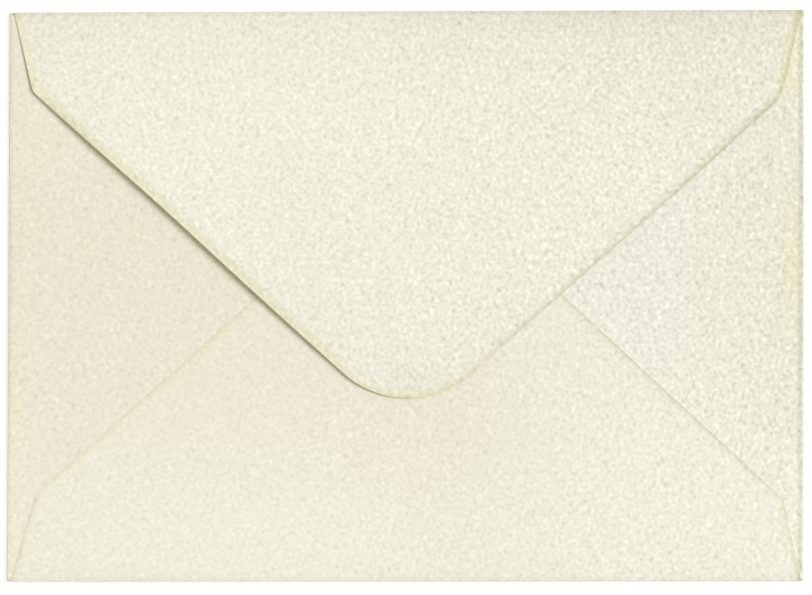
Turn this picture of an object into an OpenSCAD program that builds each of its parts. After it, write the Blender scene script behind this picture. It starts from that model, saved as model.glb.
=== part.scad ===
// Paper envelope with a deep round-tipped seal flap, folded from one diamond-shaped sheet.
// It lies on its front panel: the side flaps are folded in first, the bottom flap is pasted
// over them, and the unsealed seal flap is folded down on top.
// Millimetres. X runs along the top fold, Y up the envelope, Z up from the table.

/* [Envelope] */
// Width of the closed envelope, along the top fold
envelope_w = 175; // [150:1:200]
// Height of the closed envelope, from bottom fold to top fold
envelope_h = 125; // [112:1:150]

/* [Paper] */
// Thickness of the sheet
paper_t = 0.15; // [0.1:0.01:0.3]
// Air inside the pocket, between the front panel and the side flaps
pocket_gap = 0.25; // [0.15:0.05:1]
// Air under the seal flap where it leaves the top fold
flap_gap = 0.1; // [0.05:0.05:0.5]
// Angle by which the unsealed flap springs open, in degrees
flap_spring = 0.6; // [0.2:0.1:4]

/* [Seal flap] */
// Inset of the ends of the top fold from the envelope's corners
seal_fold_inset = 0.75; // [0.5:0.05:2]
// Depth of the shoulders, from the top fold to the knees
seal_shoulder = 18.2; // [14:0.1:22]
// Inset of the knees from the envelope's sides
seal_knee_inset = 5.2; // [3:0.1:8]
// Slope of the long edges against the top fold, in degrees
seal_slope = 42; // [38:0.5:44]
// Radius of the knees
seal_knee_r = 3; // [1:0.5:6]
// Radius of the tip
seal_tip_r = 20; // [8:1:28]

/* [Bottom flap] */
// Inset of the ends of the bottom fold from the envelope's corners
bottom_fold_inset = 0.85; // [0.5:0.05:2]
// Height of the shoulders, from the bottom fold to the knees
bottom_shoulder = 18.5; // [14:0.1:22]
// Inset of the knees from the envelope's sides
bottom_knee_inset = 5.5; // [3:0.1:8]
// Slope of the long edges against the bottom fold, in degrees
bottom_slope = 42.3; // [38:0.5:44]
// Radius of the knees
bottom_knee_r = 3; // [1:0.5:6]
// Radius of the tip, which lies hidden under the seal flap
bottom_tip_r = 43; // [25:1:55]

/* [Side flaps] */
// Inset of the ends of the side folds from the envelope's corners
side_fold_inset = 0.6; // [0.5:0.1:4]
// Radius of the tips
side_tip_r = 8; // [3:0.5:14]

/* [Hidden] */
paper_colour = "#EFECDC";

// Each fold bends round an inner radius that sets its flap down on the plies below it.
side_fold_r = pocket_gap / 2;
bottom_fold_r = (pocket_gap + paper_t) / 2;
seal_fold_r = (pocket_gap + 2 * paper_t + flap_gap) / 2;

// Distance of each fold line, where the flat front panel ends, from the envelope's centre.
side_line = envelope_w / 2 - paper_t - side_fold_r;
bottom_line = envelope_h / 2 - paper_t - bottom_fold_r;
seal_line = envelope_h / 2 - paper_t - seal_fold_r;

// Steps of the arc at a rounded corner of an outline, and of the arc of a fold.
corner_steps = 24;
fold_steps = 12;
// Spare length by which an outline stands clear of the fold that it crosses.
clear = 1;

function unit(v) = v / norm(v);

function turned(v, angle) = [v.x * cos(angle) - v.y * sin(angle), v.x * sin(angle) + v.y * cos(angle)];

// Arc of radius r that is tangent to both sides of the corner b, between its neighbours a and c.
function corner_arc(a, b, c, r) =
    let (
        to_a = unit(a - b),
        to_c = unit(c - b),
        half = acos(to_a * to_c) / 2,
        centre = b + unit(to_a + to_c) * r / sin(half),
        start = b + to_a * r / tan(half) - centre,
        sweep = sign(cross(-to_a, to_c)) * (180 - 2 * half)
    )
    [for (k = [0:corner_steps]) centre + turned(start, sweep * k / corner_steps)];

// Closed outline through the corners, each rounded to its own radius, or left sharp at 0.
function rounded(corners, radii) =
    let (n = len(corners))
    [for (i = [0:n - 1])
        each radii[i] == 0
            ? [corners[i]]
            : corner_arc(corners[(i + n - 1) % n], corners[i], corners[(i + 1) % n], radii[i])];

// Section of the sheet across a fold: up round the bend, then straight on along the flap.
function fold_section(inner_r, turn, reach) =
    let (
        outer_r = inner_r + paper_t,
        centre = [0, outer_r],
        along = [cos(turn), sin(turn)] * reach,
        outer = [for (k = [0:fold_steps]) centre + turned([0, -outer_r], turn * k / fold_steps)],
        inner = [for (k = [fold_steps:-1:0]) centre + turned([0, -inner_r], turn * k / fold_steps)]
    )
    [each outer, outer[fold_steps] + along, inner[0] + along, each inner];

// Flap folded over along the X axis, towards -Y. The outline gives its shape as seen from above,
// with its depth along +Y, measured from the outside of the fold.
module folded_flap(outline, inner_r, turn)
    intersection() {
        translate([-envelope_w, 0, 0])
            rotate([90, 0, 90])
                linear_extrude(2 * envelope_w)
                    polygon(fold_section(inner_r, turn, envelope_w));
        translate([0, inner_r + paper_t, -clear])
            linear_extrude(envelope_h)
                mirror([0, 1, 0])
                    polygon(outline);
    }

// Outline of a flap with shoulders that draw in from the fold to the knees, then long straight
// edges up to one rounded tip.
function shouldered(base, knee, shoulder, slope, knee_r, tip_r) = rounded(
    [
        [-base, -clear], [-base, 0], [-knee, shoulder], [0, shoulder + knee * tan(slope)],
        [knee, shoulder], [base, 0], [base, -clear],
    ],
    [0, 0, knee_r, tip_r, knee_r, 0, 0]
);

module front_panel()
    linear_extrude(paper_t)
        polygon([
            [-side_line, -bottom_line], [side_line, -bottom_line],
            [side_line, seal_line], [-side_line, seal_line],
        ]);

// Left side flap. Its edges run parallel to the long edges of the two flaps that cover them,
// which leaves an even margin for the paste.
module side_flap() {
    base = envelope_h / 2 - side_fold_inset;
    tip = 2 * base / (tan(seal_slope) + tan(bottom_slope));
    outline = rounded(
        [[-base, -clear], [-base, 0], [tip * tan(bottom_slope) - base, tip], [base, 0], [base, -clear]],
        [0, 0, side_tip_r, 0, 0]
    );
    rotate([0, 0, 90])
        translate([0, side_line, 0])
            folded_flap(outline, side_fold_r, 180);
}

module bottom_flap()
    rotate([0, 0, 180])
        translate([0, bottom_line, 0])
            folded_flap(
                shouldered(
                    envelope_w / 2 - bottom_fold_inset, envelope_w / 2 - bottom_knee_inset,
                    bottom_shoulder, bottom_slope, bottom_knee_r, bottom_tip_r
                ),
                bottom_fold_r, 180
            );

module seal_flap()
    translate([0, seal_line, 0])
        folded_flap(
            shouldered(
                envelope_w / 2 - seal_fold_inset, envelope_w / 2 - seal_knee_inset,
                seal_shoulder, seal_slope, seal_knee_r, seal_tip_r
            ),
            seal_fold_r, 180 - flap_spring
        );

module envelope()
    color(paper_colour) {
        front_panel();
        side_flap();
        mirror([1, 0, 0]) side_flap();
        bottom_flap();
        seal_flap();
    }

envelope();
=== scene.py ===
"""Pearl-finish paper envelope, lying on its front panel with the flaps up.

The sheet is cut flat as one blank with its four flaps, creased, folded round true bends, and
given the paper's thickness. Sizes are in millimetres and the meshes in metres.
"""

import math

import bmesh
import bpy
from mathutils import Matrix, Vector


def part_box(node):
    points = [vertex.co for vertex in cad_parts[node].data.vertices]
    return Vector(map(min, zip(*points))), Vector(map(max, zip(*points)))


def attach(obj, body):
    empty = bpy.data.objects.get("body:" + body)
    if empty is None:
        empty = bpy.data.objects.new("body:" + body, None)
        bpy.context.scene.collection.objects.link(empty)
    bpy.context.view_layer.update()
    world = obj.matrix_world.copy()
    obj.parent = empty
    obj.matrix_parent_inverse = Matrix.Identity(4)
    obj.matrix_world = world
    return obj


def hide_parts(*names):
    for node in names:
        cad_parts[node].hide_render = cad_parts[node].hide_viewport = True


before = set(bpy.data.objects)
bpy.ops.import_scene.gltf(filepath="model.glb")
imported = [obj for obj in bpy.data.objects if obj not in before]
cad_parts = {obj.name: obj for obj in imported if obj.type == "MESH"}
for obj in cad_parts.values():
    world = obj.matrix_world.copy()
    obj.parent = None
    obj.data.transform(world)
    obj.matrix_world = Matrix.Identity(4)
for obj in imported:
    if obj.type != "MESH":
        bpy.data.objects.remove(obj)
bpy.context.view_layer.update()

MM = 0.001

node_low, node_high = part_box("envelope")
HALF_WIDTH = (node_high[0] - node_low[0]) / 2 / MM
HALF_HEIGHT = (node_high[1] - node_low[1]) / 2 / MM

# The sheet, and the inner radius of the bend at each fold.
PAPER = 0.15
SIDE_BEND = 0.125
BOTTOM_BEND = 0.2
SEAL_BEND = 0.325

# Mesh cells of the sheet, rows round each bend, rows beside each fold line, and cuts round a
# rounded corner. Points of the sheet that lie closer together than WELD are one.
CELL = 1.25
BEND_ROWS = 10
FOLD_ROWS = (0.0, 0.3, 0.6)
CORNER_CUTS = 14
WELD = 0.004

# Points this close to the line of a cut, or to the border of a flap, count as on it.
CUT_SLACK = 1e-5
BORDER_SLACK = 1e-4

# The sheet's own map is the flat blank in a square of this width.
BLANK_SPAN = 400.0


def fold_line(half_size, bend):
    """Distance from the middle to the line where the flat panel ends and a bend starts."""
    return half_size - PAPER - bend


SIDE_LINE = fold_line(HALF_WIDTH, SIDE_BEND)
BOTTOM_LINE = fold_line(HALF_HEIGHT, BOTTOM_BEND)
SEAL_LINE = fold_line(HALF_HEIGHT, SEAL_BEND)

# Outline of each flap as it lies folded: how far along its fold from the middle, and how deep
# from the outside of the fold, then the rounding of that corner. The seal flap and the bottom
# flap run anticlockwise on the blank, and were cut and folded a little off square.
SEAL_OUTLINE = [
    ((87.1, 0.0), 0),
    ((82.3, 19.3), 8),
    ((0.34, 92.01), 21.2),
    ((-82.26, 17.42), 3),
    ((-86.7, 0.0), 0),
]
BOTTOM_OUTLINE = [
    ((86.95, 0.0), 0),
    ((81.2, 19.25), 3),
    ((-1.5, 93.05), 44),
    ((-83.1, 17.98), 3),
    ((-87.1, 0.0), 0),
]
SIDE_OUTLINE = [
    ((62.3, 0.0), 0),
    ((62.1, 0.9), 0),
    ((0.3, 69.0), 8),
    ((-62.1, 0.9), 0),
    ((-62.3, 0.0), 0),
]

# The sheet's corners, between the ends of two folds, stand this far inside the folded outline.
CORNER_INSET = 0.1

# The die bevels the cut edges of the bottom flap's left half: this wide, and down to this share
# of the paper's thickness.
BEVEL = 0.6
BEVELLED = 0.3

# How far each corner of the folded envelope stands from a true rectangle.
OFF_SQUARE = {
    "top_left": (0.63, -0.2),
    "top_right": (0.4, 0.41),
    "bottom_right": (0.15, -0.2),
    "bottom_left": (0.02, -0.35),
}

# The pocket's back stands this proud between its folds, and falls to them over this length.
PILLOW = 0.12
PILLOW_RUN = 2.2

# How high the seal flap lies over its place: all over, and how much more where it is sprung
# open on its left. Then how far the middle of its length stands to the right.
SEAL_REST = 0.18
SEAL_SPRUNG = 0.79
SWAY = 0.4

# Tones of the sheet are given in screen levels out of 255, of which one is this share of light.
LEVEL = 0.0092

# The finish of the sheet is kept at each vertex. These are its values on the plain front panel,
# where no cut edge is near.
PANEL_FINISH = {
    "edge_distance": 99.0,
    # The edge values below carry painted shade of the cut edges as well as worn coat, and shade
    # carries painted shade and light as well as the coat's own tone.
    "rubbed_and_shaded": 0.0,
    "dulled_and_shaded": 0.0,
    "yellowed": 0.0,
    "painted_inner_band": 0.0,
    "aged": 0.0,
    "shade": 1.0,
    "warmth": 0.2,
    "green": 0.0,
    "grain": 0.6,
}


class Flap:
    """One flap of the blank: its outline, its bend, and the way it is turned on the blank."""

    def __init__(self, name, outline, line, bend, turn):
        self.name = name
        self.line = line
        self.bend = bend + PAPER / 2
        self.wrap = math.pi * self.bend
        self.turn = Matrix.Rotation(math.radians(turn), 4, "Z")
        outer = bend + PAPER
        self.corners = [
            (Vector((along, self.wrap + depth - outer if depth else 0.0)), rounding)
            for (along, depth), rounding in outline
        ]
        self.reach = max(corner.y for corner, _ in self.corners)
        self.sides = []
        for (start, _), (end, _) in zip(self.corners, self.corners[1:]):
            side = end - start
            self.sides.append((start, Vector((side.y, -side.x)).normalized()))
        self.arcs = []
        for index, (corner, radius) in enumerate(self.corners):
            if radius:
                before = self.sides[index - 1][1]
                after = self.sides[index][1]
                middle = (before + after).normalized()
                centre = corner - middle * radius / middle.dot(after)
                self.arcs.append((centre, radius, before, after))

    def local(self, point):
        """Point of the flat blank as seen from this flap: along its fold, and past the line."""
        turned = self.turn.transposed() @ point
        return Vector((turned.x, turned.y - self.line))

    def holds(self, point):
        """Whether a point of the flat blank lies on this flap, past its fold line."""
        along, past = self.local(point)
        left = self.corners[-1][0].x + BORDER_SLACK
        right = self.corners[0][0].x - BORDER_SLACK
        return left < along < right and past > BORDER_SLACK


FLAPS = [
    Flap("seal", SEAL_OUTLINE, SEAL_LINE, SEAL_BEND, 0),
    Flap("left", SIDE_OUTLINE, SIDE_LINE, SIDE_BEND, 90),
    Flap("bottom", BOTTOM_OUTLINE, BOTTOM_LINE, BOTTOM_BEND, 180),
    Flap("right", SIDE_OUTLINE, SIDE_LINE, SIDE_BEND, -90),
]


def cells_over(length):
    """Number of mesh cells that cover a length."""
    return math.ceil(length / CELL)


def cut(sheet, point, outward, keep_all=False):
    """Cuts the sheet along a line. What lies outward of it falls away, unless all is kept."""
    bmesh.ops.bisect_plane(
        sheet,
        geom=sheet.verts[:] + sheet.edges[:] + sheet.faces[:],
        dist=CUT_SLACK,
        plane_co=(point[0], point[1], 0),
        plane_no=(outward[0], outward[1], 0),
        clear_outer=not keep_all,
    )


def new_grid(half_along, low, high):
    """Flat grid of cells, its columns centred on the middle of the fold."""
    sheet = bmesh.new()
    columns = 2 * cells_over(half_along)
    rows = cells_over(high - low)
    place = Matrix.Translation((0, low + rows * CELL / 2, 0))
    bmesh.ops.create_grid(
        sheet,
        x_segments=columns,
        y_segments=rows,
        size=0.5,
        matrix=place @ Matrix.Diagonal((columns * CELL, rows * CELL, 1, 1)),
    )
    return sheet


def cut_outline(sheet, flap):
    """Cuts a flap's convex outline, first its straight sides and then its rounded corners."""
    for start, outward in flap.sides:
        cut(sheet, start, outward)
    for centre, radius, before, after in flap.arcs:
        for step in range(1, CORNER_CUTS):
            outward = before.slerp(after, step / CORNER_CUTS)
            cut(sheet, centre + outward * radius, outward)


def cut_flap(flap):
    """Cuts one flap out of the sheet, with the fine rows that its bend needs."""
    half_along = max(abs(corner.x) for corner, _ in flap.corners)
    sheet = new_grid(half_along, 0.0, flap.reach)
    cut_outline(sheet, flap)
    for row in range(1, BEND_ROWS + 1):
        cut(sheet, (0, flap.wrap * row / BEND_ROWS), (0, 1), keep_all=True)
    cut(sheet, (0, flap.wrap + FOLD_ROWS[1]), (0, 1), keep_all=True)
    if flap.name == "bottom":
        for start, outward in flap.sides[:2]:
            cut(sheet, start - outward * BEVEL, outward, keep_all=True)
    place = flap.turn @ Matrix.Translation((0, flap.line, 0))
    bmesh.ops.transform(sheet, matrix=place, verts=sheet.verts[:])
    return sheet


def cut_panel():
    """Cuts the front panel, with a vertex wherever a fold ends, and its four small corners."""
    sheet = new_grid(HALF_WIDTH, -cells_over(HALF_HEIGHT) * CELL, HALF_HEIGHT)
    for half_size, direction in ((HALF_WIDTH, (1, 0)), (HALF_HEIGHT, (0, 1))):
        outer = Vector(direction) * (half_size - CORNER_INSET)
        cut(sheet, outer, outer)
        cut(sheet, -outer, -outer)
    for flap in FLAPS:
        along = flap.turn @ Vector((1, 0, 0))
        for corner in (flap.corners[0][0], flap.corners[-1][0]):
            cut(sheet, flap.turn @ Vector((corner.x, flap.line, 0)), along, keep_all=True)
        outward = flap.turn @ Vector((0, 1, 0))
        for inset in FOLD_ROWS:
            cut(sheet, outward * (flap.line - inset), outward, keep_all=True)
    folded_over = [
        face
        for face in sheet.faces
        if any(flap.holds(face.calc_center_median()) for flap in FLAPS)
    ]
    bmesh.ops.delete(sheet, geom=folded_over, context="FACES")
    return sheet


def cut_blank():
    """The whole sheet, flat: the panel and its four flaps, joined along the creases."""
    blank = bmesh.new()
    scratch = bpy.data.meshes.new("scratch")
    for sheet in [cut_panel()] + [cut_flap(flap) for flap in FLAPS]:
        sheet.to_mesh(scratch)
        sheet.free()
        blank.from_mesh(scratch)
    bpy.data.meshes.remove(scratch)
    bmesh.ops.remove_doubles(blank, verts=blank.verts[:], dist=WELD)
    bmesh.ops.recalc_face_normals(blank, faces=blank.faces[:])
    return blank


def flap_of(point):
    """The flap that a point of the flat blank lies on, or none on the panel."""
    for flap in FLAPS:
        if flap.holds(point):
            return flap
    return None


def edge_distance(flap, point):
    """Distance from a point of the flat blank to the nearest cut edge of its flap."""
    place = flap.local(point)
    nearest = min((start - place).dot(outward) for start, outward in flap.sides)
    for centre, radius, before, after in flap.arcs:
        from_centre = place - centre
        if before.cross(from_centre) > 0 and from_centre.cross(after) > 0:
            nearest = min(nearest, radius - from_centre.length)
    return max(nearest, 0.0)


def rise(value, start, end):
    """Smooth step: 0 while a value is at its start, 1 once it is at its end."""
    share = min(max((value - start) / (end - start), 0.0), 1.0)
    return share * share * (3 - 2 * share)


def hump(value, middle, width):
    """Bell curve: 1 at its middle, and a third of that one width away."""
    return math.exp(-(((value - middle) / width) ** 2))


def fade(distance, run):
    """Falls from 1 to a third over each run."""
    return math.exp(-distance / run)


def pillow(x, y):
    """Height by which the pocket's back stands proud of its folds."""
    sides = 1 - fade(max(HALF_WIDTH - abs(x), 0), PILLOW_RUN)
    ends = 1 - fade(max(HALF_HEIGHT - abs(y), 0), PILLOW_RUN)
    return PILLOW * sides * ends


def seal_lift(x, y):
    """Height of the seal flap above its place: sprung open along its left, settled at its ends."""
    depth = HALF_HEIGHT - y
    loose = rise(depth, 3.0, 36.0)
    left = rise(x, 19.0, -27.0)
    tip = rise(depth, 60.0, 85.0)
    point = rise(depth, 72.0, 84.0)
    end = rise(abs(x), 66.0, 80.0)
    settled = 0.12 + 0.1 * hump(depth, 0.0, 6.0)
    lift = SEAL_REST + SEAL_SPRUNG * left * (1 - 0.42 * tip - 0.2 * point)
    lift += 0.2 * point * (1 - left) - 0.08 * point * hump(x, -3.5, 5.0)
    return loose * lift - end * settled


def ply_height(flap, x, y):
    """Height of a flap's middle layer over its place in the stack, once it is folded."""
    height = pillow(x, y)
    if flap.name == "seal":
        height += seal_lift(x, y)
    return height


def fold_point(point):
    """Where a point of the flat blank goes when the flaps are folded."""
    flap = flap_of(point)
    if not flap:
        return Vector((point.x, point.y, PAPER / 2))
    along, past = flap.local(point)
    if past >= flap.wrap:
        out = flap.wrap - past
        height = 2 * flap.bend
    else:
        angle = past / flap.bend
        out = flap.bend * math.sin(angle)
        height = flap.bend * (1 - math.cos(angle))
    placed = flap.turn @ Vector((along, flap.line + out, 0))
    share = height / (2 * flap.bend)
    placed.z = PAPER / 2 + height + share * ply_height(flap, placed.x, placed.y)
    return placed


def sway(y):
    """How far the middle of the seal flap's length stands to the right of its place."""
    return SWAY * hump(HALF_HEIGHT - y, 43.0, 12.0)


def off_square(point):
    """Shifts a point by its share of what the envelope's corners stand off square."""
    right = 0.5 + point.x / (2 * HALF_WIDTH)
    top = 0.5 + point.y / (2 * HALF_HEIGHT)
    shares = {
        "top_left": (1 - right) * top,
        "top_right": right * top,
        "bottom_right": right * (1 - top),
        "bottom_left": (1 - right) * (1 - top),
    }
    point.x += sum(shares[name] * OFF_SQUARE[name][0] for name in shares)
    point.y += sum(shares[name] * OFF_SQUARE[name][1] for name in shares)
    return point


def bevel_share(flap, point):
    """How much of the paper's thickness the die has left at a point of the flat blank."""
    if flap.name == "bottom" and flap.local(point).x > 0:
        near = 1 - min(edge_distance(flap, point) / BEVEL, 1.0)
        return 1 - (1 - BEVELLED) * near
    return 1.0


# Each tone is a shade in screen levels, then the warmth, the green and the grain of the coat. The
# shade holds the coat's own drift and also painted shade and light near the folds and the seal
# flap.
# The places at which they drift are millimetres of the folded envelope, as are those of the edge
# marks.


def seal_tone(x, y):
    """Pale on the left, greyer and coarser on the right, darker at the tip, and darker along the
    top fold as painted shade.
    """
    depth = HALF_HEIGHT - y
    right = rise(x, -45.0, 15.0)
    upper = 1 - rise(depth, 0.0, 45.0)
    tip = rise(depth, 60.0, 85.0)
    top = fade(depth, 9.0)
    rim = fade(depth, 2.0)
    far = rise(x, 20.0, 60.0) * upper
    corner = rise(x, 55.0, 65.0) * upper
    middle = hump(x, -14.0, 25.0) * rise(y, 38.0, 23.0) * (1 - tip)
    band = hump(x, 34.0, 24.0) * hump(depth, 0.0, 6.0)
    # The top, rim and band terms are painted shade of the top fold.
    shade = 3.2 - 3.4 * right - (2.4 - right) * upper - 2.2 * top - (3.0 + 2.0 * right) * rim
    shade -= 4.5 * band + 2.0 * rise(x, -76.0, -81.0) + 3.5 * tip
    shade -= 2.2 * far + 3.4 * corner + 3.1 * middle
    warmth = 0.13 + 0.15 * far + 0.25 * top
    return shade, warmth, 0.05 + 0.3 * corner, 0.83 + 0.34 * rise(x, -40.0, 70.0)


def left_tone(x, y):
    """Warm and fine, and paler towards the lower end of its fold, where light is painted against
    the fold's shade.
    """
    low = rise(y, 15.0, -55.0)
    shade = -3.5 + 0.8 * low + 1.6 * rise(y, 18.0, 34.0)
    # Paler beside the fold: painted light against the shade of the rounded fold.
    shade += (1.5 + 3.5 * low + 3.5 * rise(y, -18.0, -28.0)) * fade(x + HALF_WIDTH, 4.0)
    return shade, 0.8 - 0.25 * low, 0.0, 0.62


def bottom_tone(x, y):
    """Darker beside the seal flap and below its tip as painted shadow, and warmer there; darker
    along its fold as painted shade; paler at the lower left, greener on the right.
    """
    right = rise(x, 10.0, 60.0)
    left = rise(x, 30.0, 5.0)
    under_flap = rise(y, -43.0, -10.0)
    below_tip = 1 - rise(math.hypot(x - 3.0, y + 30.0), 0.0, 28.0)
    rim = fade(y + HALF_HEIGHT, 1.2)
    under_right = rise(x, 2.0, 16.0) * under_flap
    dip = hump(x, 23.0, 15.0) * hump(y, -33.0, 10.0)
    low_left = rise(y, -38.0, -50.0) * rise(x, 10.0, -15.0)
    low_left *= 0.5 + 0.5 * rise(x, -74.0, -50.0)
    # under_flap and below_tip paint the seal flap's shadow, and rim paints the shade of the bottom
    # fold.
    shade = 0.3 + 0.7 * right - under_flap * (1.0 + 2.0 * left) - 4.0 * rim - 1.4 * below_tip
    shade += 2.1 * low_left - 1.2 * under_right - 1.8 * dip
    warmth = 0.26 - 0.17 * right + 0.42 * under_flap * left + 0.2 * below_tip
    grain = 0.53 + 0.12 * rise(x, -40.0, 0.0) + 0.2 * right
    return shade, warmth, 0.4 * rise(x, 45.0, 65.0), grain


def right_tone(x, y):
    """Coarse and greyer at the top; darker beside its fold as painted shade, and paler on the fold
    at its top and just inside its lower end as painted light.
    """
    low = rise(y, 15.0, -55.0)
    inner = rise(x, 80.0, 55.0)
    inside = HALF_WIDTH - x
    # Darker beside the fold is painted shade; the two lines below paint light on the fold.
    shade = -4.8 + 4.4 * low + 2.0 * inner - 1.5 * fade(inside, 1.5) - 3.0 * fade(inside, 5.0)
    shade += 8.0 * rise(y, 30.0, 45.0) * fade(inside, 0.6)
    shade += 14.0 * rise(y, -20.0, -46.0) * (fade(inside, 2.5) - 1.3 * fade(inside, 0.6))
    return shade, (0.15 + 0.9 * fade(inside, 5.0)) * (1 - inner), 0.5 * (1 - inner), 1.13


TONES = {"seal": seal_tone, "left": left_tone, "bottom": bottom_tone, "right": right_tone}


# Each edge mark says how far the coat along the cut edges is darkened narrowly and widely, by
# worn coat and painted shade together, then yellowed, then darkened by a painted band of shade a
# little way inside the edge.


def seal_wear_and_shade(x, y):
    """Dark edges of worn coat and painted shade, strongest on the right, at the knees and at the
    tip, and a painted band of shade inside the left edge.
    """
    depth = HALF_HEIGHT - y
    right = rise(x, -2.0, 43.0)
    tip = rise(depth, 76.0, 83.0)
    shoulder = rise(abs(x), 78.0, 83.0)
    left_knee = rise(x, -62.0, -72.0) * rise(depth, 16.5, 20.5)
    right_knee = rise(x, 55.0, 80.0)
    # These two paint the shade of the edges as well as their worn coat.
    rubbed_and_shaded = 0.25 + 0.57 * right + 0.3 * right_knee + 0.5 * left_knee + 0.3 * tip
    rubbed_and_shaded -= 0.44 * shoulder * right
    dulled_and_shaded = 0.12 + 0.9 * rubbed_and_shaded * rise(x, -2.0, 23.0) + 0.4 * left_knee
    dulled_and_shaded += 0.3 * right_knee * (1 - shoulder)
    plain = rise(x, -14.0, 16.0) * (1 - 0.9 * tip)
    yellowed = 0.9 - 0.62 * plain * (1 - 0.8 * shoulder) + 0.15 * right_knee
    # A band of painted shade a little way inside the left edge.
    painted_inner_band = rise(x, -8.0, -22.0) * rise(x, -84.0, -76.0)
    painted_inner_band *= 0.8 + 0.5 * hump(x, -46.0, 14.0)
    return rubbed_and_shaded, dulled_and_shaded, yellowed, painted_inner_band


def bottom_wear_and_shade(x, y):
    """Dark edges of worn coat and painted shade on its right half alone, where the key light casts
    no shadow; yellowed all along.
    """
    right = rise(x, 0.0, 30.0)
    shoulder = rise(abs(x), 78.0, 83.0)
    return (0.9 - 0.2 * shoulder) * right, 0.2 * right, 0.45 - 0.3 * right * (1 - shoulder), 0.0


def no_wear(x, y):
    """The side flaps' cut edges are covered."""
    return 0.0, 0.0, 0.0, 0.0


WEAR_AND_SHADE = {"seal": seal_wear_and_shade, "left": no_wear, "bottom": bottom_wear_and_shade, "right": no_wear}


def fold_ageing(flap, x, y):
    """How far the coat has yellowed, in places, just inside the two side folds."""
    inside = HALF_WIDTH - abs(x)
    if flap.name == "right":
        places = hump(y, 8.0, 15.0) + rise(y, 42.0, 47.0)
        return 0.9 * places * hump(inside, 3.1, 1.8)
    if flap.name == "left":
        return 0.5 * hump(y, -24.0, 16.0) * hump(inside, 1.7, 1.2)
    return 0.0


def flap_finish(flap, point, x, y):
    """Finish of a flap at a point of the flat blank that lies folded at x and y."""
    levels, warmth, green, grain = TONES[flap.name](x, y)
    wear_and_shade = WEAR_AND_SHADE[flap.name](x, y)
    aged = fold_ageing(flap, x, y)
    return (edge_distance(flap, point), *wear_and_shade, aged, 1 + levels * LEVEL, warmth, green, grain)


def make_envelope(paper, cut_edge):
    """Cuts, folds and thickens the sheet."""
    blank = cut_blank()
    flat = blank.loops.layers.uv.new("blank")
    layers = {name: blank.verts.layers.float.new(name) for name in PANEL_FINISH}
    weights = blank.verts.layers.deform.new()
    for face in blank.faces:
        face.smooth = True
        for loop in face.loops:
            loop[flat].uv = loop.vert.co.to_2d() / BLANK_SPAN + Vector((0.5, 0.5))
    for edge in blank.edges:
        edge.smooth = not edge.is_boundary
    for vert in blank.verts:
        point = vert.co.copy()
        flap = flap_of(point)
        vert.co = fold_point(point)
        finish = PANEL_FINISH.values()
        left_over = 1.0
        if flap:
            finish = flap_finish(flap, point, vert.co.x, vert.co.y)
            left_over = bevel_share(flap, point)
            # The bevel takes the paper away from above.
            vert.co.z -= PAPER / 2 * (1 - left_over)
            if flap.name == "seal":
                vert.co.x += sway(vert.co.y)
        for name, value in zip(PANEL_FINISH, finish):
            vert[layers[name]] = value
        vert[weights][0] = left_over
        vert.co = off_square(vert.co)
    bmesh.ops.scale(blank, vec=(MM, MM, MM), verts=blank.verts[:])
    mesh = bpy.data.meshes.new("envelope_sheet")
    blank.to_mesh(mesh)
    blank.free()
    mesh.materials.append(paper)
    mesh.materials.append(cut_edge)
    sheet = bpy.data.objects.new("envelope_sheet", mesh)
    bpy.context.scene.collection.objects.link(sheet)
    sheet.vertex_groups.new(name="thickness")
    thickness = sheet.modifiers.new("paper_thickness", "SOLIDIFY")
    thickness.thickness = PAPER * MM
    thickness.offset = 0
    thickness.vertex_group = "thickness"
    thickness.use_even_offset = True
    thickness.use_quality_normals = True
    thickness.material_offset_rim = 1
    return sheet


class Nodes:
    """Adds and links the nodes of one material or world."""

    def __init__(self, tree):
        self.tree = tree
        tree.nodes.clear()

    def add(self, kind, inputs=None, **settings):
        """New node. Each input is set to a value, or linked where it is another node's output."""
        node = self.tree.nodes.new(kind)
        for name, value in settings.items():
            setattr(node, name, value)
        for socket, value in (inputs or {}).items():
            if isinstance(value, bpy.types.NodeSocket):
                self.tree.links.new(value, node.inputs[socket])
            else:
                node.inputs[socket].default_value = value
        return node

    def math(self, operation, first, second=0.0, third=0.0):
        """Result of a sum on numbers."""
        inputs = {0: first, 1: second, 2: third}
        return self.add("ShaderNodeMath", inputs, operation=operation).outputs[0]

    def colour_math(self, operation, first, second, third=(0.0, 0.0, 0.0)):
        """Result of a sum on the red, green and blue of colours."""
        inputs = {0: first, 1: second, 2: third}
        return self.add("ShaderNodeVectorMath", inputs, operation=operation).outputs[0]

    def blend(self, share, first, second):
        """Mix of two colours, from all of the first at 0 to all of the second at 1."""
        mix = self.add("ShaderNodeMix", {0: share, 6: first, 7: second}, data_type="RGBA")
        return mix.outputs[2]

    def ramp(self, value, low, high, bottom=0.0, top=1.0):
        """Smooth rise from bottom to top as the value goes from low to high."""
        node = self.add(
            "ShaderNodeMapRange",
            {"Value": value, "From Min": low, "From Max": high, "To Min": bottom, "To Max": top},
            interpolation_type="SMOOTHSTEP",
        )
        return node.outputs["Result"]


def srgb(red, green, blue):
    """Linear colour of an 8-bit screen colour."""

    def linear(value):
        value = value / 255
        return value / 12.92 if value <= 0.04045 else ((value + 0.055) / 1.055) ** 2.4

    return (linear(red), linear(green), linear(blue), 1.0)


def new_material(name):
    """Empty material, with its nodes."""
    material = bpy.data.materials.new(name)
    material.use_nodes = True
    return material, Nodes(material.node_tree)


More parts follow.
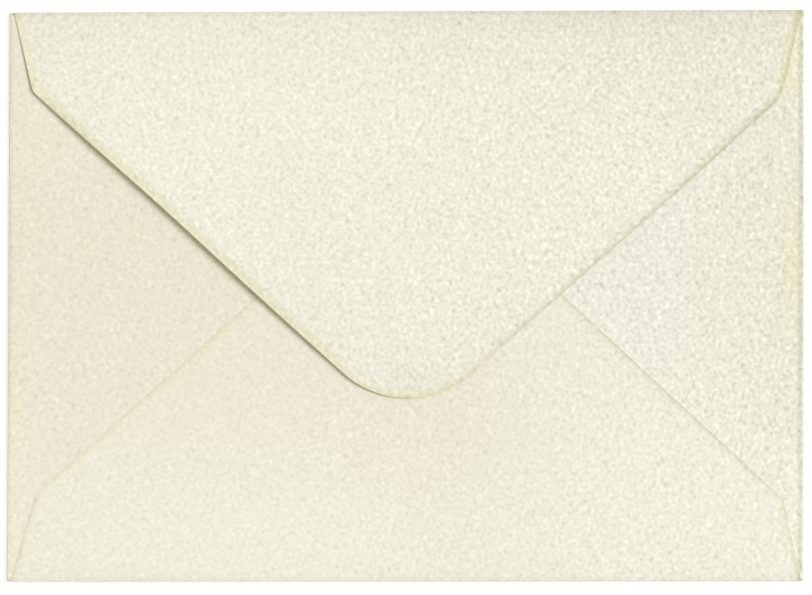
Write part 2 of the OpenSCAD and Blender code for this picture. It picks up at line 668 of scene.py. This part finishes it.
# Painted shade of each fold: how much it darkens the coat on its bend and just past it, and how
# far past that reaches. A negative bend value paints light on the bend, against the key's shade.
PAINTED_FOLD_SHADE = {
    "seal": (0.05, 0.07, 0.6),
    "left": (-0.1, 0.09, 0.65),
    "bottom": (-0.04, 0.04, 0.8),
    "right": (0.17, 0.18, 1.5),
}

# Past a bend its own shade ends over this length, and the crease stays dark over this share of
# its reach.
BEND_EDGE = 0.15
CREASE_CORE = 0.4


def painted_fold_shade(nodes, flat):
    """Painted shade of the paper along its folds, with painted light on the bends of the left and
    bottom folds.
    """
    split = nodes.add("ShaderNodeSeparateXYZ", {0: flat})
    shade = 1.0
    for flap in FLAPS:
        on_bend, beyond, reach = PAINTED_FOLD_SHADE[flap.name]
        outward = flap.turn @ Vector((0, 1, 0))
        across = split.outputs["X"] if abs(outward.x) > 0.5 else split.outputs["Y"]
        sign = round(outward.x + outward.y)
        middle = 0.5 + sign * (flap.line + flap.wrap / 2) / BLANK_SPAN
        away = nodes.math("ABSOLUTE", nodes.math("SUBTRACT", across, middle))
        past = nodes.math("SUBTRACT", nodes.math("MULTIPLY", away, BLANK_SPAN), flap.wrap / 2)
        bent = nodes.ramp(past, 0.0, BEND_EDGE, beyond - on_bend, 0.0)
        line = nodes.ramp(past, reach * CREASE_CORE, reach, 1 - beyond, 1.0)
        shade = nodes.math("MULTIPLY", shade, nodes.math("ADD", line, bent))
    return shade


# The coat's own cream, and what it turns to where it is warm and where it is green.
CREAM = srgb(239.2, 237.1, 219.8)
WARM_CREAM = srgb(240.4, 232.4, 209.6)
GREEN_CREAM = srgb(238.5, 238.2, 217.2)

# What is left of the coat's red, green and blue where it is fully worn and shaded, which paints
# the edges' shade as well as their worn coat, and where it is fully yellowed.
WORN_AND_SHADED = (0.74, 0.73, 0.66)
YELLOWED = (1.0, 0.995, 0.86)

# Worn coat and painted shade along the cut edges, and their yellowing: where each starts to
# ease and where it ends, as distances inside the edge, and how strong it is at first.
EDGE_WEAR_AND_SHADE = {
    "rubbed_and_shaded": (0.1, 1.25, 0.66),
    "dulled_and_shaded": (0.3, 2.6, 0.34),
    "yellowed": (0.4, 2.8, 1.0),
}

# The painted band of shade inside the seal flap's left edge starts, peaks and ends this far inside
# the edge, and is this strong.
INNER_BAND_START = 0.5
INNER_BAND_PEAK = 0.9
INNER_BAND_END = 2.9
INNER_BAND_LEVEL = 0.28

# Noise to the width of the blank's square: the pebbles of the grain, and the paper's fibres. The
# pebbles are a slanting slice through solid noise, which keeps its lattice from showing.
PEBBLE_SCALE = 445.0
PEBBLE_SLANT = (0.61, 0.47, 0.83)
FIBRE_SCALE = 1500.0

# The pebbles' contrast near their mean, how much it gains further from it, and how strongly
# they show in red, green and blue.
PEBBLE_CONTRAST = 0.62
PEBBLE_GAIN = 2.5
MOTTLE = (0.31, 0.325, 0.375)

# Share of the fibres in the relief, and the depth of the whole relief in metres.
FIBRE_SHARE = 0.04
RELIEF = 0.000064


def pearl_paper():
    """Cream paper with a pearl coat: a fine felt grain, tones that drift over the sheet, and
    painted shade and light along its folds and cut edges and beside the seal flap.
    """
    material, nodes = new_material("pearl_paper")
    flat = nodes.add("ShaderNodeUVMap", uv_map="blank").outputs["UV"]

    def of_sheet(name):
        """One value of the finish that the sheet's vertices hold."""
        return nodes.add("ShaderNodeAttribute", attribute_name=name).outputs["Fac"]

    slanting = nodes.add("ShaderNodeMapping", {"Vector": flat, "Rotation": PEBBLE_SLANT})
    grain = nodes.add(
        "ShaderNodeTexNoise",
        {"Vector": slanting.outputs[0], "Scale": PEBBLE_SCALE, "Detail": 0.0, "Distortion": 0.2},
    ).outputs["Fac"]
    pebbles = nodes.math("SUBTRACT", grain, 0.5)
    away = nodes.math("ABSOLUTE", pebbles)
    sharper = nodes.math("MULTIPLY_ADD", away, PEBBLE_GAIN, PEBBLE_CONTRAST)
    pebbles = nodes.math("MULTIPLY", pebbles, sharper)
    pebbles = nodes.math("MULTIPLY", pebbles, of_sheet("grain"))

    tone = nodes.blend(of_sheet("warmth"), CREAM, WARM_CREAM)
    tone = nodes.blend(of_sheet("green"), tone, GREEN_CREAM)
    # The folds' painted shade and light darken and lighten the tone here.
    shade = nodes.math("MULTIPLY", of_sheet("shade"), painted_fold_shade(nodes, flat))
    mottle = nodes.colour_math("MULTIPLY_ADD", pebbles, MOTTLE, (1.0, 1.0, 1.0))
    coat = nodes.colour_math("MULTIPLY", nodes.colour_math("MULTIPLY", tone, shade), mottle)

    inside = of_sheet("edge_distance")

    def along_edge(kind):
        """How much of one kind of edge mark there is beside a cut edge."""
        eases, ends, level = EDGE_WEAR_AND_SHADE[kind]
        return nodes.math("MULTIPLY", nodes.ramp(inside, eases, ends, level, 0.0), of_sheet(kind))

    # A band of painted shade a little way inside the seal flap's left edge.
    line = nodes.ramp(inside, INNER_BAND_START, INNER_BAND_PEAK, 0.0, INNER_BAND_LEVEL)
    line = nodes.math("MULTIPLY", line, of_sheet("painted_inner_band"))
    line = nodes.math("MULTIPLY", nodes.ramp(inside, INNER_BAND_PEAK, INNER_BAND_END, 1.0, 0.0), line)
    # Worn coat and painted shade of the cut edges, with the painted band inside the left edge.
    wear_and_shade = nodes.math("ADD", along_edge("rubbed_and_shaded"), along_edge("dulled_and_shaded"))
    wear_and_shade = nodes.math("ADD", wear_and_shade, line)
    coat = nodes.blend(wear_and_shade, coat, nodes.colour_math("MULTIPLY", coat, WORN_AND_SHADED))
    yellow = nodes.math("ADD", along_edge("yellowed"), of_sheet("aged"))
    coat = nodes.blend(yellow, coat, nodes.colour_math("MULTIPLY", coat, YELLOWED))

    fibre = nodes.add(
        "ShaderNodeTexNoise",
        {"Vector": flat, "Scale": FIBRE_SCALE, "Detail": 2.0, "Roughness": 0.5},
        noise_dimensions="2D",
    ).outputs["Fac"]
    fine = nodes.math("MULTIPLY_ADD", fibre, FIBRE_SHARE, pebbles)
    relief = nodes.add("ShaderNodeBump", {"Height": fine, "Strength": 1.0, "Distance": RELIEF})
    shader = nodes.add(
        "ShaderNodeBsdfPrincipled",
        {
            "Base Color": coat,
            "Metallic": 0.1,
            "Roughness": 0.5,
            "Specular IOR Level": 0.4,
            "Normal": relief.outputs["Normal"],
        },
    )
    nodes.add("ShaderNodeOutputMaterial", {"Surface": shader.outputs[0]})
    return material


# The paper's core, from its darkest fibres to its palest, and the scale of their noise.
CORE_DARK = srgb(214, 208, 186)
CORE_PALE = srgb(232, 228, 211)
CORE_SCALE = 3000.0


def bare_edge():
    """Cut edge of the paper, where the core shows: whiter and dull."""
    material, nodes = new_material("paper_cut_edge")
    place = nodes.add("ShaderNodeTexCoord").outputs["Object"]
    fibre = nodes.add(
        "ShaderNodeTexNoise", {"Vector": place, "Scale": CORE_SCALE, "Detail": 2.0}
    ).outputs["Fac"]
    tone = nodes.blend(fibre, CORE_DARK, CORE_PALE)
    shader = nodes.add(
        "ShaderNodeBsdfPrincipled",
        {"Base Color": tone, "Roughness": 0.9, "Specular IOR Level": 0.2},
    )
    nodes.add("ShaderNodeOutputMaterial", {"Surface": shader.outputs[0]})
    return material


def seen_directly(nodes):
    """1 for rays that show the background itself: camera, glossy and transmission rays."""
    path = nodes.add("ShaderNodeLightPath").outputs
    glossy = nodes.math("MAXIMUM", path["Is Camera Ray"], path["Is Glossy Ray"])
    return nodes.math("MAXIMUM", glossy, path["Is Transmission Ray"])


# The camera looks straight down through a long lens, a little off the envelope's middle. The
# picture is this wide at the height of the envelope's back.
LENS = 200.0
SENSOR = 36.0
PICTURE_WIDTH = 178.5
AIM = (0.257, -0.332)
BACK_HEIGHT = 0.8


def make_camera():
    """Camera over the envelope, with the top fold at the top of the picture."""
    data = bpy.data.cameras.new("camera")
    data.lens = LENS
    data.sensor_width = SENSOR
    data.sensor_fit = "HORIZONTAL"
    data.clip_end = 20
    camera = bpy.data.objects.new("camera", data)
    bpy.context.scene.collection.objects.link(camera)
    distance = PICTURE_WIDTH * LENS / SENSOR
    camera.location = Vector((AIM[0], AIM[1], distance + BACK_HEIGHT)) * MM
    bpy.context.scene.camera = camera


# The key light stands to the right, as the picture is seen. The tints of key and fill cancel
# out on a flat card, and the coat's reflections make up what their two levels leave short of 1.
KEY_AZIMUTH = 9.0
KEY_ELEVATION = 42.0
KEY_SPREAD = 31.0
KEY_LEVEL = 0.535
KEY_COLOUR = (1.0, 1.022, 1.187)
FILL_LEVEL = 0.42
FILL_COLOUR = (1.0, 0.972, 0.76, 1)


def make_lights():
    """Key light, and an even fill that the camera sees as white."""
    azimuth = math.radians(KEY_AZIMUTH)
    elevation = math.radians(KEY_ELEVATION)
    towards = Vector(
        (
            math.cos(azimuth) * math.cos(elevation),
            math.sin(azimuth) * math.cos(elevation),
            math.sin(elevation),
        )
    )
    data = bpy.data.lights.new("key", "SUN")
    data.angle = math.radians(KEY_SPREAD)
    data.color = KEY_COLOUR
    data.energy = KEY_LEVEL * math.pi / math.sin(elevation)
    key = bpy.data.objects.new("key", data)
    key.location = towards
    key.rotation_mode = "QUATERNION"
    key.rotation_quaternion = towards.to_track_quat("Z", "Y")
    bpy.context.scene.collection.objects.link(key)

    world = bpy.data.worlds.new("studio")
    world.use_nodes = True
    bpy.context.scene.world = world
    nodes = Nodes(world.node_tree)
    seen = seen_directly(nodes)
    level = nodes.ramp(seen, 0.0, 1.0, FILL_LEVEL, 1.0)
    colour = nodes.blend(seen, FILL_COLOUR, (1, 1, 1, 1))
    back = nodes.add("ShaderNodeBackground", {"Color": colour, "Strength": level})
    nodes.add("ShaderNodeOutputWorld", {"Surface": back.outputs[0]})


# The floor: its half width in metres, the colour that it throws on the envelope, and how much
# of the light it shows and how much it glows where it is seen, which adds up to white.
FLOOR_HALF = 3
FLOOR_COLOUR = (0.8, 0.8, 0.79, 1)
FLOOR_SEEN = (0.3, 0.3, 0.3, 1)
FLOOR_GLOW_COLOUR = (1.0, 1.0, 0.975, 1)
FLOOR_GLOW = 0.705


def make_floor():
    """Pale floor that shows white to the camera and keeps a faint shadow of the envelope."""
    floor_mesh = bmesh.new()
    bmesh.ops.create_grid(floor_mesh, x_segments=1, y_segments=1, size=FLOOR_HALF)
    mesh = bpy.data.meshes.new("floor")
    floor_mesh.to_mesh(mesh)
    floor_mesh.free()
    floor = bpy.data.objects.new("floor", mesh)
    bpy.context.scene.collection.objects.link(floor)
    material, nodes = new_material("pale_floor")
    plain = nodes.add("ShaderNodeBsdfDiffuse", {"Color": FLOOR_COLOUR})
    lit = nodes.add("ShaderNodeBsdfDiffuse", {"Color": FLOOR_SEEN})
    glow = nodes.add("ShaderNodeEmission", {"Color": FLOOR_GLOW_COLOUR, "Strength": FLOOR_GLOW})
    white = nodes.add("ShaderNodeAddShader", {0: lit.outputs[0], 1: glow.outputs[0]})
    mix = nodes.add(
        "ShaderNodeMixShader",
        {0: seen_directly(nodes), 1: plain.outputs[0], 2: white.outputs[0]},
    )
    nodes.add("ShaderNodeOutputMaterial", {"Surface": mix.outputs[0]})
    mesh.materials.append(material)


scene = bpy.context.scene
scene.view_settings.view_transform = "Standard"
make_camera()
make_lights()
make_floor()

envelope = make_envelope(pearl_paper(), bare_edge())
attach(envelope, "root")
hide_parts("envelope")
